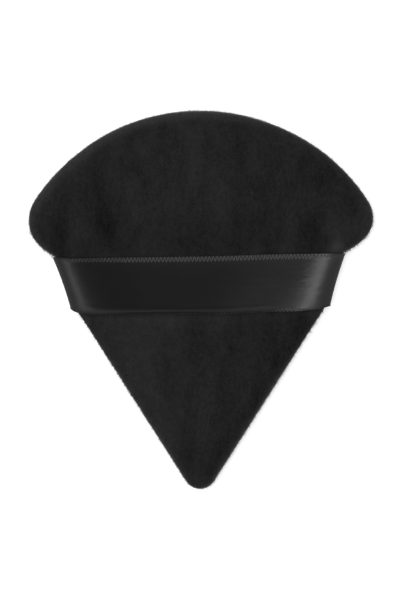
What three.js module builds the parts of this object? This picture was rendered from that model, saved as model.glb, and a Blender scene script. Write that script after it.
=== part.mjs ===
// A triangular velour powder puff with a satin finger strap.
// Two velour covers are sewn together round a foam core, and the side seams hold the ends of the ribbon.
// Units are millimetres. X runs across the puff, Y from its tip to its crown, Z up through its thickness.
// The origin is on the surface that the puff lies on, under the middle of its box.

import * as THREE from "three";

// Outline of the puff, seen from the strap side
const puffLength = 80; // tip to crown
const tipAngle = 65; // degrees between the two straight sides
const tipRadius = 3.5;
const shoulderRadius = 8;
const crownRadius = 42.2;

// Thickness of the puff and how its edges round over
const frontRise = 7.5; // seam plane to the crown of the strap side
const backRise = 7.5; // seam plane to the flat that the puff lies on
const frontRounding = 20; // how far in from the rim the strap side keeps climbing
const backRounding = 15; // the same on the back, which is flat further in
const roundingPower = 2.2; // 2 rounds like an ellipse, more is squarer
const ridgeSoftness = 2; // how far the three slopes of the puff melt into each other

// Velour covers and their seam
const coverThickness = 1.2;
const seamAllowance = 6.5; // width of the turned-in edge
const seamGap = 0.3; // between the two turned-in edges
const edgeRoll = 1; // height of the widest line on either side of the seam plane
const grooveDepth = 0.7; // how far the seam lies in from the widest line

// Satin ribbon
const ribbonWidth = 12;
const ribbonThickness = 0.4;
const ribbonMiddleY = 3.3;
const ribbonSkew = 0.7; // the right end is sewn this much nearer the crown than the left end
const ribbonTuck = 4.5; // length of ribbon inside the seam
const ribbonBend = 0.6; // radius where the ribbon turns up out of the seam
const ribbonStandOff = 0.45; // from the rim to the start of that bend
const fingerGap = 5.6; // between the puff and the middle of the ribbon
const archPower = 2.5; // 2 arches like an ellipse, more is flatter on top
const freeLength = 32; // stretch of ribbon that lifts away

// What the ribbon does to the puff
const valleyDepth = 1.8; // the face is pressed in under the ribbon
const valleyMargin = 1.8; // flat floor of the valley beyond each edge of the ribbon
const valleyEase = 7; // from the floor of the valley up to the full crown
const waistAtCrownEdge = 3.3; // the side is drawn in by this at the ribbon's upper edge
const waistAtTipEdge = 0.65; // and by this at its lower edge
const waistMargin = 0.5; // the side stays drawn in this far above the ribbon
const waistFadeToCrown = 1.3; // and then recovers over this length
const waistFadeToTip = 1.2; // below the ribbon it recovers over this length

// Sewing thread
const threadDiameter = 0.4;
const closingThreadDiameter = 0.3;
const seamLineInset = 4; // stitching line, in from the rim
const turningGapLength = 26; // stretch of the right side left open to turn and fill the puff
const turningGapMiddleY = -19;
const closingPitch = 2.4; // length of one closing stitch
const closingReach = 0.35; // a closing stitch crosses the seam plane by this much each way
const tackPitch = 1.2; // one zigzag of a bar tack
const tackDepth = 0.6; // width of the zigzag
const tackGap = 0.4; // between the bar tack and the seam thread
const tackMargin = 1.8; // the bar tack stops this far short of the ribbon's edges

const clearance = 0.3; // between pieces that touch
const foamClearance = 0.5; // between the foam and the covers

// How finely the soft surfaces are divided
const tipSteps = 3;
const sideSteps = 5;
const waistSteps = 9;
const shoulderSteps = 5;
const crownSteps = 8;
const rimInsets = [15, 10, 6, 3, 1.3, 0.35, 0]; // rings of the outer face, in from the rim
const middleShares = [0.2, 0.45, 0.72]; // rings further in, as shares of the innermost of those
const liningInsets = [15, 10, 6, 3, 1.3]; // rings of the covers' hidden inner faces
const foamInsets = [15, 10, 6, 3]; // rings of the foam, which stops short of the seam
const hiddenShares = [0.45];
const ribbonRows = 3;
const archSteps = 7;
const bendSteps = 4;
const bandSteps = 10;
const threadSides = 5;
const seamThreadSteps = 110;
const zigzagStepsPerTurn = 2;

// Values worked out from the sizes above
const halfTip = THREE.MathUtils.degToRad(tipAngle / 2);
const tipCentreY = tipRadius - puffLength / 2;
const apexY = tipCentreY - tipRadius / Math.sin(halfTip);
const crownCentreY = puffLength / 2 - crownRadius;
const seamZ = backRise;
const ribbonCrownY = ribbonMiddleY + ribbonWidth / 2;
const ribbonTipY = ribbonMiddleY - ribbonWidth / 2;
const core = new THREE.Vector2(0, ribbonMiddleY); // the rings of the soft surfaces close in on this point
const pocketHalfGap = ribbonThickness / 2 + clearance; // half the seam's opening where the ribbon goes in
const valleyFloor = frontRise - valleyDepth;
const archRise = valleyFloor + fingerGap + ribbonThickness / 2 - ribbonBend;

// What the pieces are made of
const velour = { color: 0x1c1c1d, roughness: 0.95, metalness: 0 };
const satin = { color: 0x222224, roughness: 0.38, metalness: 0 };
const foam = { color: 0x3a3a3c, roughness: 1, metalness: 0 };
const thread = { color: 0x161617, roughness: 0.6, metalness: 0 };

// How far the side is drawn in by the ribbon at height y of one side, where side is 1 on the right.
function waist(y, side) {
  const level = y - (side * ribbonSkew) / 2;
  const deepestY = ribbonCrownY + waistMargin;
  if (level > deepestY) return waistAtCrownEdge * Math.exp((deepestY - level) / waistFadeToCrown);
  if (level < ribbonTipY) return waistAtTipEdge * Math.exp((level - ribbonTipY) / waistFadeToTip);
  return THREE.MathUtils.mapLinear(level, ribbonTipY, deepestY, waistAtTipEdge, waistAtCrownEdge);
}

// Half the puff's width where the ribbon crosses its straight side.
function sideX(y, side) {
  return (y - apexY) * Math.tan(halfTip) - waist(y, side);
}

// Centre of the arc that rounds the corner between the right side and the crown.
function shoulderCentre() {
  const along = new THREE.Vector2(Math.sin(halfTip), Math.cos(halfTip));
  const inward = new THREE.Vector2(-Math.cos(halfTip), Math.sin(halfTip));
  const start = new THREE.Vector2(0, apexY).addScaledVector(inward, shoulderRadius);
  const from = start.clone().sub(new THREE.Vector2(0, crownCentreY));
  const reach = crownRadius - shoulderRadius;
  const travel = -from.dot(along) + Math.sqrt(from.dot(along) ** 2 - from.lengthSq() + reach ** 2);
  return start.addScaledVector(along, travel);
}

// Points of a curve without its last one, which the next curve starts with.
function pointsOf(curve, steps) {
  return curve.getSpacedPoints(steps).slice(0, -1);
}

function arcOf(x, y, radius, from, to) {
  return new THREE.EllipseCurve(x, y, radius, radius, from, to);
}

// The right half of the outline, from the end of the tip to the top of the crown, before it is drawn in.
function rightHalf() {
  const shoulder = shoulderCentre();
  const turn = Math.atan2(shoulder.y - crownCentreY, shoulder.x);
  const outward = new THREE.Vector2(Math.cos(halfTip), -Math.sin(halfTip));
  const sideStart = new THREE.Vector2(0, tipCentreY).addScaledVector(outward, tipRadius);
  const sideEnd = shoulder.clone().addScaledVector(outward, shoulderRadius);
  const waistY = ribbonTipY - 2 * waistFadeToTip;
  const waistStart = sideStart.clone().lerp(sideEnd, (waistY - sideStart.y) / (sideEnd.y - sideStart.y));
  return [
    ...pointsOf(arcOf(0, tipCentreY, tipRadius, -Math.PI / 2, -halfTip), tipSteps),
    ...pointsOf(new THREE.LineCurve(sideStart, waistStart), sideSteps),
    ...pointsOf(new THREE.LineCurve(waistStart, sideEnd), waistSteps),
    ...pointsOf(arcOf(shoulder.x, shoulder.y, shoulderRadius, -halfTip, turn), shoulderSteps),
    ...pointsOf(arcOf(0, crownCentreY, crownRadius, turn, Math.PI / 2), crownSteps),
  ];
}

// Depth inside the plain outline: the distances to its two sides and its crown, melted together.
function depthAt(p) {
  const toSide = (p.y - apexY) * Math.sin(halfTip);
  const across = p.x * Math.cos(halfTip);
  const toCrown = crownRadius - Math.hypot(p.x, p.y - crownCentreY);
  const terms = [toSide - across, toSide + across, toCrown];
  return -ridgeSoftness * Math.log(terms.reduce((sum, d) => sum + Math.exp(-d / ridgeSoftness), 0));
}

// The rim: each point drawn in at the waist, with the distance that a ring moves in along its own ray.
function makeRim() {
  const right = rightHalf();
  const top = new THREE.Vector2(0, puffLength / 2);
  const left = [...right.slice(1).map((p) => new THREE.Vector2(-p.x, p.y)), top].reverse();
  const plain = [...right, ...left];
  return plain.map((p, i) => {
    const before = plain[(i + plain.length - 1) % plain.length];
    const after = plain[(i + 1) % plain.length];
    const normal = new THREE.Vector2(after.y - before.y, before.x - after.x).normalize();
    const side = Math.sign(p.x);
    const at = new THREE.Vector2(p.x - side * waist(p.y, side), p.y);
    return { at, side, reach: p.clone().sub(core).dot(normal), depth: depthAt(at) };
  });
}
const rim = makeRim();
const middleReach = rim.reduce((sum, point) => sum + point.reach, 0) / rim.length;

// Half the opening of the seam at a rim point: wider where the ribbon goes in.
function seamHalfGap(point) {
  const level = Math.abs(point.at.y - ribbonMiddleY - (point.side * ribbonSkew) / 2);
  const edge = ribbonWidth / 2 + waistFadeToCrown;
  const share = 1 - THREE.MathUtils.smoothstep(level, edge, edge + ribbonWidth / 4);
  return seamGap / 2 + (pocketHalfGap - seamGap / 2) * share;
}

// The share of a ray from the core at which a ring lies, given how far in from the rim it is.
// Near the rim the rings keep their distance from it, and deeper in they turn into scaled outlines.
function shareAt(point, inset) {
  return 1 - inset / THREE.MathUtils.lerp(point.reach, middleReach, inset / rimInsets[0]);
}

const onRay = (point, share) => core.clone().lerp(point.at, share);

// How far a rounded edge has climbed, from 0 at the rim to 1 where it levels out.
function climb(depth, rounding) {
  const left = 1 - THREE.MathUtils.clamp(depth / rounding, 0, 1);
  return (1 - left ** roundingPower) ** (1 / roundingPower);
}

// Y of a row of the ribbon where it crosses X.
const ribbonY = (row, x) => ribbonMiddleY + row + (ribbonSkew * x) / (2 * sideX(ribbonMiddleY, 0));

// How far the face is pressed in under the ribbon.
function valleyAt(p) {
  const level = Math.abs(p.y - ribbonY(0, p.x));
  const floor = ribbonWidth / 2 + valleyMargin;
  return valleyDepth * (1 - THREE.MathUtils.smoothstep(level, floor, floor + valleyEase));
}

// Height of the puff's face above or below the seam plane, at a share of a ray.
function faceHeight(point, share, face) {
  const p = onRay(point, share);
  const climbed = climb(depthAt(p) - point.depth * share ** 4, face.rounding);
  return edgeRoll + (face.rise - edgeRoll - (face.valley ? valleyAt(p) : 0)) * climbed;
}

const front = { rise: frontRise, rounding: frontRounding, valley: true, up: 1 };
const back = { rise: backRise, rounding: backRounding, valley: false, up: -1 };

const placed = (p, height, face) => new THREE.Vector3(p.x, p.y, seamZ + face.up * height);

// Rings of one face of the puff, from its middle out to the rim.
function faceRings(face, insets, shares) {
  const ringOf = (shareOf) =>
    rim.map((point) => placed(onRay(point, shareOf(point)), faceHeight(point, shareOf(point), face), face));
  return [
    ...shares.map((share) => ringOf((point) => share * shareAt(point, insets[0]))),
    ...insets.map((inset) => ringOf((point) => shareAt(point, inset))),
  ];
}

const faceMiddle = (face) => placed(core, faceHeight(rim[0], 0, face), face);

// Rings moved in square to their own surface, and kept at least floorOf above or below the seam plane.
function linedRings(face, insets, distance, floorOf) {
  const rings = faceRings(face, [...insets, 0], hiddenShares);
  const middle = faceMiddle(face);
  const lined = rings.slice(0, -1).map((ring, j) =>
    ring.map((at, i) => {
      const along = ring[(i + 1) % ring.length].clone().sub(ring[(i + ring.length - 1) % ring.length]);
      const inner = j > 0 ? rings[j - 1][i] : middle;
      const normal = rings[j + 1][i].clone().sub(inner).cross(along).normalize().multiplyScalar(face.up);
      const moved = at.clone().addScaledVector(normal, -distance);
      const height = Math.max(face.up * (moved.z - seamZ), floorOf(rim[i]));
      return moved.setZ(seamZ + face.up * height);
    }),
  );
  return { rings: lined, middle: middle.clone().setZ(middle.z - face.up * distance) };
}

// A ring at a fixed distance in from the rim and a height from the seam plane.
function flatRing(inset, heightOf, face) {
  return rim.map((point) => placed(onRay(point, shareAt(point, inset)), heightOf(point), face));
}

// A closed surface through rings of equal length, from one end point to the other.
function loft(start, rings, end) {
  const count = rings[0].length;
  const vertices = [start, ...rings.flat(), end];
  const index = [];
  for (let i = 0; i < count; i++) {
    const next = (i + 1) % count;
    index.push(0, 1 + i, 1 + next);
    for (let j = 0; j + 1 < rings.length; j++) {
      const a = 1 + j * count;
      const b = a + count;
      index.push(a + i, b + i, b + next, a + i, b + next, a + next);
    }
    const last = 1 + (rings.length - 1) * count;
    index.push(last + i, vertices.length - 1, last + next);
  }
  return new THREE.BufferGeometry().setFromPoints(vertices).setIndex(index);
}

// One velour cover: its crowned face, the edge turned in along the seam, and its lining side.
function coverGeometry(face) {
  const allowanceTop = (point) => seamHalfGap(point) + coverThickness;
  const lining = linedRings(face, liningInsets, coverThickness, allowanceTop);
  const rings = [
    ...faceRings(face, rimInsets, middleShares),
    flatRing(grooveDepth, seamHalfGap, face),
    flatRing(seamAllowance, seamHalfGap, face),
    flatRing(seamAllowance, allowanceTop, face),
    flatRing(grooveDepth + coverThickness, allowanceTop, face),
    ...lining.rings.reverse(),
  ];
  if (face.up > 0) return loft(faceMiddle(face), rings, lining.middle);
  return loft(lining.middle, rings.reverse(), faceMiddle(face));
}

// The foam core fills the covers, with a groove round its edge for the turned-in seam and its thread.
function foamGeometry() {
  const threadRoom = threadDiameter + 2 * clearance;
  const grooveEdge = (point) => seamHalfGap(point) + coverThickness + threadRoom;
  const upper = linedRings(front, foamInsets, coverThickness + foamClearance, grooveEdge);
  const lower = linedRings(back, foamInsets, coverThickness + foamClearance, grooveEdge);
  const rings = [
    ...upper.rings,
    flatRing(seamAllowance + foamClearance, grooveEdge, front),
    flatRing(seamAllowance + foamClearance, grooveEdge, back),
    ...lower.rings.reverse(),
  ];
  return loft(upper.middle, rings, lower.middle);
}

// A sheet of even thickness over a grid of rows of points, closed round its edges.
function sheetGeometry(grid, thickness) {
  const last = grid.length - 1;
  const width = grid[0].length - 1;
  const normalAt = (u, v) => {
    const along = grid[Math.min(u + 1, last)][v].clone().sub(grid[Math.max(u - 1, 0)][v]);
    const across = grid[u][Math.min(v + 1, width)].clone().sub(grid[u][Math.max(v - 1, 0)]);
    return along.cross(across).normalize();
  };
  const section = (u) => {
    const upper = grid[u].map((p, v) => p.clone().addScaledVector(normalAt(u, v), thickness / 2));
    const lower = grid[u].map((p, v) => p.clone().addScaledVector(normalAt(u, v), -thickness / 2));
    return [...upper, ...lower.reverse()];
  };
  const rings = grid.map((_, u) => section(u));
  const count = rings[0].length;
  const index = [];
  for (let u = 0; u < last; u++) {
    for (let i = 0; i < count; i++) {
      const a = u * count + i;
      const b = u * count + ((i + 1) % count);
      index.push(a, a + count, b + count, a, b + count, b);
    }
  }
  for (let v = 0; v < width; v++) {
    const far = count - 1 - v;
    index.push(v, v + 1, far - 1, v, far - 1, far);
    const end = last * count;
    index.push(end + v, end + far - 1, end + v + 1, end + v, end + far, end + far - 1);
  }
  return new THREE.BufferGeometry().setFromPoints(rings.flat()).setIndex(index);
}

// Half the span of the ribbon's arch for one row, measured to the middle of its thickness.
function archSpan(row, side) {
  return sideX(ribbonMiddleY + row + (side * ribbonSkew) / 2, side) + ribbonStandOff + ribbonBend;
}

// A point of the arch, where turn is 0 at the seam and a right angle at the middle of the ribbon.
function archPoint(row, side, turn) {
  const x = side * archSpan(row, side) * Math.cos(turn) ** (2 / archPower);
  const rise = archRise * Math.sin(turn) ** (2 / archPower);
  return new THREE.Vector3(x, ribbonY(row, x), seamZ + ribbonBend + rise);
}

// The turn at which a row of the arch crosses a distance from the middle of the puff.
const turnAt = (row, side, x) => Math.acos((x / archSpan(row, side)) ** (archPower / 2));

// One line across the ribbon, from its edge near the tip to its edge near the crown.
function acrossRibbon(pointOf) {
  return Array.from({ length: ribbonRows + 1 }, (_, v) => pointOf(ribbonWidth * (v / ribbonRows - 0.5)));
}

// One end of the ribbon: from the free stretch down the arch, round the bend and into the seam.
function ribbonEndGeometry(side) {
  const grid = [];
  const start = freeLength / 2 + clearance / 2;
  for (let k = archSteps; k > 0; k--) {
    grid.push(acrossRibbon((row) => archPoint(row, side, (turnAt(row, side, start) * k) / archSteps)));
  }
  for (let k = 0; k <= bendSteps; k++) {
    const turn = (Math.PI / 2) * (k / bendSteps);
    const inset = ribbonBend * (1 - Math.cos(turn));
    const rise = ribbonBend * (1 - Math.sin(turn));
    grid.push(
      acrossRibbon((row) => {
        const x = side * (archSpan(row, side) - inset);
        return new THREE.Vector3(x, ribbonY(row, x), seamZ + rise);
      }),
    );
  }
  grid.push(
    acrossRibbon((row) => {
      const x = side * (archSpan(row, side) - ribbonBend - ribbonStandOff - ribbonTuck);
      return new THREE.Vector3(x, ribbonY(row, x), seamZ);
    }),
  );
  return sheetGeometry(side > 0 ? grid : grid.reverse(), ribbonThickness);
}

// The free stretch of the ribbon, which fingers lift.
function ribbonBandGeometry() {
  const reach = freeLength / 2 - clearance / 2;
  const grid = Array.from({ length: bandSteps + 1 }, (_, k) => {
    const x = reach * ((2 * k) / bandSteps - 1);
    const side = Math.sign(x) || 1;
    return acrossRibbon((row) => archPoint(row, side, turnAt(row, side, Math.abs(x))));
  });
  return sheetGeometry(grid, ribbonThickness);
}

// A thread along points, as a tube with flat ends.
function threadGeometry(points, diameter, steps) {
  const sides = Array.from({ length: threadSides }, (_, k) => {
    const turn = (2 * Math.PI * k) / threadSides;
    return new THREE.Vector2(Math.cos(turn), Math.sin(turn)).multiplyScalar(diameter / 2);
  });
  const extrudePath = new THREE.CatmullRomCurve3(points, false, "centripetal");
  return new THREE.ExtrudeGeometry(new THREE.Shape(sides), { steps, extrudePath });
}

// Rim points in order from one end of the turning gap right round to the other.
function sewnRim() {
  const half = turningGapLength / 2;
  const open = (point) => point.side > 0 && Math.abs(point.at.y - turningGapMiddleY) < half;
  const first = rim.findIndex((point, i) => open(rim[(i + rim.length - 1) % rim.length]) && !open(point));
  return [...rim.slice(first), ...rim.slice(0, first)].filter((point) => !open(point));
}

// Height of a thread that lies on a turned-in edge, at the middle of the thread.
const threadHeight = (point) => seamHalfGap(point) + coverThickness + clearance + threadDiameter / 2;

// One thread of the seam, lying on the turned-in edge of a cover.
function seamThreadGeometry(face) {
  const points = sewnRim().map((point) =>
    placed(onRay(point, shareAt(point, seamLineInset)), threadHeight(point), face),
  );
  return threadGeometry(points, threadDiameter, seamThreadSteps);
}

// Points that step from one side to the other along a line, where way is 1 or -1.
function zigzag(turns, pointOf) {
  return Array.from({ length: 2 * turns + 1 }, (_, k) => pointOf(k / (2 * turns), k % 2 ? 1 : -1));
}

// The bar tack that holds one end of the ribbon in its seam.
function tackGeometry(side) {
  const turns = Math.round((ribbonWidth - 2 * tackMargin) / tackPitch);
  const inset = (seamLineInset + threadDiameter + tackGap + tackDepth / 2) / Math.cos(halfTip);
  const height = pocketHalfGap + coverThickness + clearance + threadDiameter / 2;
  const points = zigzag(turns, (share, way) => {
    const level = THREE.MathUtils.lerp(ribbonTipY + tackMargin, ribbonCrownY - tackMargin, share);
    const y = level + (side * ribbonSkew) / 2;
    const x = side * (sideX(y, side) - inset - (way * tackDepth) / 2);
    return new THREE.Vector3(x, y, seamZ - height);
  });
  return threadGeometry(points, threadDiameter, turns * zigzagStepsPerTurn * 2);
}

// The hand stitches that close the turning gap, zigzagging across the groove of the seam.
function closingGeometry() {
  const turns = Math.round(turningGapLength / closingPitch);
  const points = zigzag(turns, (share, way) => {
    const y = turningGapMiddleY + turningGapLength * (share - 0.5);
    return new THREE.Vector3(sideX(y, 1), y, seamZ + way * closingReach);
  });
  return threadGeometry(points, closingThreadDiameter, turns * zigzagStepsPerTurn * 2);
}

// A piece with its name and a material of its own.
function named(name, geometry, finish) {
  const mesh = new THREE.Mesh(geometry, new THREE.MeshStandardMaterial(finish));
  mesh.name = name;
  return mesh;
}

const puff = new THREE.Group();
puff.add(
  named("foam_core", foamGeometry(), foam),
  named("front_cover", coverGeometry(front), velour),
  named("back_cover", coverGeometry(back), velour),
  named("seam_needle_thread", seamThreadGeometry(front), thread),
  named("seam_bobbin_thread", seamThreadGeometry(back), thread),
  named("closing_thread", closingGeometry(), thread),
);

const strap = new THREE.Group();
strap.add(
  named("ribbon_band", ribbonBandGeometry(), satin),
  named("ribbon_left_end", ribbonEndGeometry(-1), satin),
  named("ribbon_right_end", ribbonEndGeometry(1), satin),
  named("left_bar_tack", tackGeometry(-1), thread),
  named("right_bar_tack", tackGeometry(1), thread),
);

const powderPuff = new THREE.Group();
powderPuff.add(puff, strap);

export default powderPuff;
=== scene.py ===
"""Dresses a packed powder puff: velour covers with their pile, foam, thread and a satin finger strap."""

import math

import bpy
import numpy as np
from bpy.props import FloatProperty, FloatVectorProperty, IntProperty, PointerProperty
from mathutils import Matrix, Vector


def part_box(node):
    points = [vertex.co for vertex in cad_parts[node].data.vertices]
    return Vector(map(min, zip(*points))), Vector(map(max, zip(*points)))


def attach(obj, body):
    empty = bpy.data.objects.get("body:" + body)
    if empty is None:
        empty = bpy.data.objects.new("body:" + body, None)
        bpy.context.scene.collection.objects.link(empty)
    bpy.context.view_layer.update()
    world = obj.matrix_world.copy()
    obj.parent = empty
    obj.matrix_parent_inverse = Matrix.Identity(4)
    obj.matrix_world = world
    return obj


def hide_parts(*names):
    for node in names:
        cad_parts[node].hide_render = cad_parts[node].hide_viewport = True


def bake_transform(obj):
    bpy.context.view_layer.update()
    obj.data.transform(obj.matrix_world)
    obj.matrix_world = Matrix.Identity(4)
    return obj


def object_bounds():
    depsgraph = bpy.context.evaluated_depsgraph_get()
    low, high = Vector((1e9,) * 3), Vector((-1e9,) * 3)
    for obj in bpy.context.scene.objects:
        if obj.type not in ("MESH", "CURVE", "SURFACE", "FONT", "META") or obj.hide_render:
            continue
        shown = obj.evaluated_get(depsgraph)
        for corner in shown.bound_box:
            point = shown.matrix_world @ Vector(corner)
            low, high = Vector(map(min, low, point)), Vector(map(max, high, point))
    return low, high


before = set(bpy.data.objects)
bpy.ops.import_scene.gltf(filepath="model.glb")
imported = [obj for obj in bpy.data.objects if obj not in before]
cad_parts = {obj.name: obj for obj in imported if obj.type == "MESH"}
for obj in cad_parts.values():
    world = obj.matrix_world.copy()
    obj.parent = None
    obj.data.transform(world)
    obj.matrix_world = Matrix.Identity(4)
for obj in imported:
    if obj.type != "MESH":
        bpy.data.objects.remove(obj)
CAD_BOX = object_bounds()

bl_info = {
    "name": "Powder puff",
    "version": (1, 0, 0),
    "blender": (4, 5, 0),
    "location": "View3D > Sidebar > Powder puff",
    "description": "Dresses a packed powder puff in velour, satin ribbon, foam and thread",
    "category": "Object",
}

MM = 0.001
PUFF_LENGTH = CAD_BOX[1].y - CAD_BOX[0].y
SEAM_Z = (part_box("front_cover")[0].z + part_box("back_cover")[1].z) / 2
RIBBON_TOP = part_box("ribbon_band")[1].z
RIBBON_CUT = (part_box("ribbon_band")[1].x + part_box("ribbon_right_end")[0].x) / 2


def size(name, description, metres):
    return FloatProperty(name=name, description=description, default=metres, unit="LENGTH", precision=5)


def angle(name, description, degrees):
    return FloatProperty(name=name, description=description, default=math.radians(degrees), subtype="ANGLE")


def number(name, description, default):
    return FloatProperty(name=name, description=description, default=default)


def colour(name, description, *levels):
    return FloatVectorProperty(
        name=name, description=description, default=levels, size=3, min=0, max=1, subtype="COLOR"
    )


def pair(name, description, left, right, unit="LENGTH"):
    """A value for the ribbon's left end and one for its right end."""
    return FloatVectorProperty(
        name=name, description=description, default=(left, right), size=2, unit=unit, precision=5
    )


class PuffSizes(bpy.types.PropertyGroup):
    """Sizes of the padded triangle."""

    length: size("Length", "From the tip to the middle of the crown", PUFF_LENGTH)
    tip_angle: angle("Tip angle", "Between the two straight sides", 65)
    tip_radius: size("Tip radius", "Rounding of the tip", 3.5 * MM)
    shoulder_radius: size("Shoulder radius", "Rounding of the two upper corners", 8 * MM)
    crown_radius: size("Crown radius", "Curve of the upper edge", 42.2 * MM)
    lean: size("Lean", "Of the two upper corners to the right", 0.28 * MM)
    seam_height: size("Seam height", "Of the seam above the table", SEAM_Z)
    front_rise: size("Front rise", "Of the front face above the seam", 7.5 * MM)
    back_rise: size("Back rise", "Of the back face below the seam", SEAM_Z)
    front_rounding: size("Front rounding", "Distance in from the rim at which the front levels out", 20 * MM)
    back_rounding: size("Back rounding", "Distance in from the rim at which the back levels out", 15 * MM)
    rounding_power: number("Rounding power", "Fullness of the rounded edge, 2 for an ellipse", 2.2)
    ridge_softness: size("Ridge softness", "Melts the ridges that run to the corners", 2 * MM)
    edge_roll: size("Edge roll", "Height of the rolled edge on each side of the seam", 1 * MM)
    groove_depth: size("Groove depth", "Of the seam's groove", 0.7 * MM)
    seam_gap: size("Seam gap", "Between the two turned-in edges", 0.3 * MM)
    cover_thickness: size("Cover thickness", "Of the velour and its backing", 1.2 * MM)
    pucker: size("Pucker", "Height of the small gathers along the seam", 0.12 * MM)
    foam_room: size("Foam room", "Between the velour's backing and the foam", 1.4 * MM)


class RibbonSizes(bpy.types.PropertyGroup):
    """Sizes of the satin strap and of the way it draws the puff in."""

    width: size("Width", "Across the ribbon", 12 * MM)
    thickness: size("Thickness", "Of the woven satin", 0.26 * MM)
    middle: size("Middle", "Y of the middle of the ribbon", 3.35 * MM)
    skew: size("Skew", "Rise of the ribbon from its left end to its right end", 0.75 * MM)
    sag: size("Sag", "Of the free stretch towards the tip on the left", 0.32 * MM)
    tuck: size("Tuck", "Length that goes into each seam", 4.5 * MM)
    bend: size("Bend", "Radius with which an end turns into the seam", 0.4 * MM)
    stand_off: size("Stand-off", "From the rim to the ribbon's end", 0.1 * MM)
    flare: size("Flare", "How much further the ribbon's lower edge stands off", 0.45 * MM)
    bow: size("Bow", "How far the middle of an end is drawn in from its straight line", 0.2 * MM)
    cut: size("Cut", "Distance from the middle at which an end takes over from the free stretch", RIBBON_CUT)
    top: size("Top", "Height of the ribbon's face above the table", RIBBON_TOP - 0.2 * MM)
    power: pair("Power", "Fullness of the arch at the left and the right, 2 for an ellipse", 3.0, 2.6, "NONE")
    slack: pair("Slack", "How much less full the arch is at its lower edge", 0.8, 0.82, "NONE")
    wave: size("Wave", "Height of the slight waves along the satin", 0.14 * MM)
    curl: size("Curl", "Drop of the turned-down edge near the tip", 1.1 * MM)
    curl_width: size("Curl width", "Width of the turned-down edge", 1.5 * MM)
    gather: pair("Gather", "Rise of the lower edge where an end is sewn in", 1.75 * MM, 1.15 * MM)
    waist: pair("Waist", "Draw of the ribbon's upper edge on the rim", 2.6 * MM, 3.5 * MM)
    waist_at_tip_edge: size("Waist at tip edge", "Draw of the ribbon's lower edge on the rim", -0.15 * MM)
    waist_margin: size("Waist margin", "From the ribbon's upper edge to the deepest draw", 0.1 * MM)
    waist_fade: pair("Waist fade", "Distance over which the draw fades upwards", 1.85 * MM, 2.4 * MM)
    waist_fade_to_tip: size("Waist fade to tip", "Distance over which the draw fades downwards", 1.2 * MM)
    valley_depth: size("Valley depth", "Of the dip in the puff under the ribbon", 2.2 * MM)
    right_valley: size("Right valley", "How much deeper the dip is at the low right of the arch", 1.0 * MM)
    valley_margin: size("Valley margin", "From the ribbon's edge to the end of the dip's floor", 0.8 * MM)
    valley_ease: size("Valley ease", "Over which the dip runs out", 12 * MM)


class PileSizes(bpy.types.PropertyGroup):
    """Sizes of the velour's standing fibres."""

    inset: size("Inset", "Of the cloth's ground from the outside of the pile", 0.05 * MM)
    length: size("Fibre length", "Of one tuft", 0.5 * MM)
    width: size("Fibre width", "Across the foot of one tuft", 0.07 * MM)
    density: number("Density", "Tufts on a square metre of cloth", 6e6)
    lean: number("Lean", "Of the tufts towards the tip", 0.5)
    ruffle: number("Ruffle", "Of the tufts to every side", 0.55)
    seed: IntProperty(name="Seed", description="Of the scatter of the tufts", default=7)


class ThreadSizes(bpy.types.PropertyGroup):
    """Sizes of the sewing thread and of the ribbon's woven edge."""

    seam_diameter: size("Seam thread", "Diameter of the seam's two threads", 0.4 * MM)
    seam_stitch: size("Seam stitch", "Length of a machine stitch", 2.5 * MM)
    seam_inset: size("Seam inset", "From the rim to the line of stitches", 4 * MM)
    closing_diameter: size("Closing thread", "Diameter of the hand-sewn thread", 0.3 * MM)
    closing_pitch: size("Closing pitch", "Of the stitches over the turning gap", 2.4 * MM)
    closing_reach: size("Closing reach", "Of a stitch to each side of the seam", 0.35 * MM)
    gap_length: size("Gap length", "Of the turning gap", 26 * MM)
    gap_middle: size("Gap middle", "Y of the middle of the turning gap", -19 * MM)
    tack_pitch: size("Tack pitch", "Of the zigzag that holds a ribbon's end", 1.2 * MM)
    tack_width: size("Tack width", "Of that zigzag", 0.6 * MM)
    tack_margin: size("Tack margin", "From the ribbon's edges to the ends of the tack", 1.8 * MM)
    tack_inset: size("Tack inset", "From the rim to the tack", 5.6 * MM)
    selvedge_pitch: size("Selvedge pitch", "Of the loops along the ribbon's edges", 0.79 * MM)
    selvedge_depth: size("Selvedge depth", "Of the loops in from the edge", 1.05 * MM)
    selvedge_diameter: size("Selvedge thread", "Diameter of the looped yarn", 0.14 * MM)


class PuffColours(bpy.types.PropertyGroup):
    """Colours of the finishes."""

    velour: colour("Velour", "Ground of the velour", 0.0136, 0.0136, 0.0138)
    velour_sheen: colour("Velour sheen", "Light caught by the pile", 0.5, 0.5, 0.52)
    satin: colour("Satin", "Face of the ribbon", 0.0078, 0.0078, 0.0081)
    # The selvedge yarn's own dark colour, painted lighter grey than the satin as a painted highlight for the
    # light its loops catch.
    selvedge: colour("Selvedge", "Looped yarn of the ribbon's edges", 0.08, 0.08, 0.082)
    thread: colour("Thread", "Sewing thread", 0.012, 0.012, 0.0125)
    foam: colour("Foam", "Core", 0.045, 0.045, 0.048)
    floor: colour("Floor", "Table under the puff", 0.9, 0.9, 0.9)


class StudioSettings(bpy.types.PropertyGroup):
    """Camera and lights."""

    view_height: size("View height", "Height of the puff's surroundings that the picture shows", 127.2 * MM)
    distance: size("Distance", "From the seam to the camera", 1.0)
    right_glow: number("Right glow", "Radiance of the softbox on the right", 3.95)
    left_glow: number("Left glow", "Radiance of the softbox on the left", 1.6)
    rim_glow: number("Rim glow", "Radiance of the low softbox beyond the left of the crown", 2.0)
    upper_glow: number("Upper glow", "Radiance of the small softbox high on the right", 0.6)
    fill_glow: number("Fill glow", "Radiance of the softbox overhead, which lights without a shine", 15.2)
    floor_glow: number("Floor glow", "Light that the table itself gives", 0.42)


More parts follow.
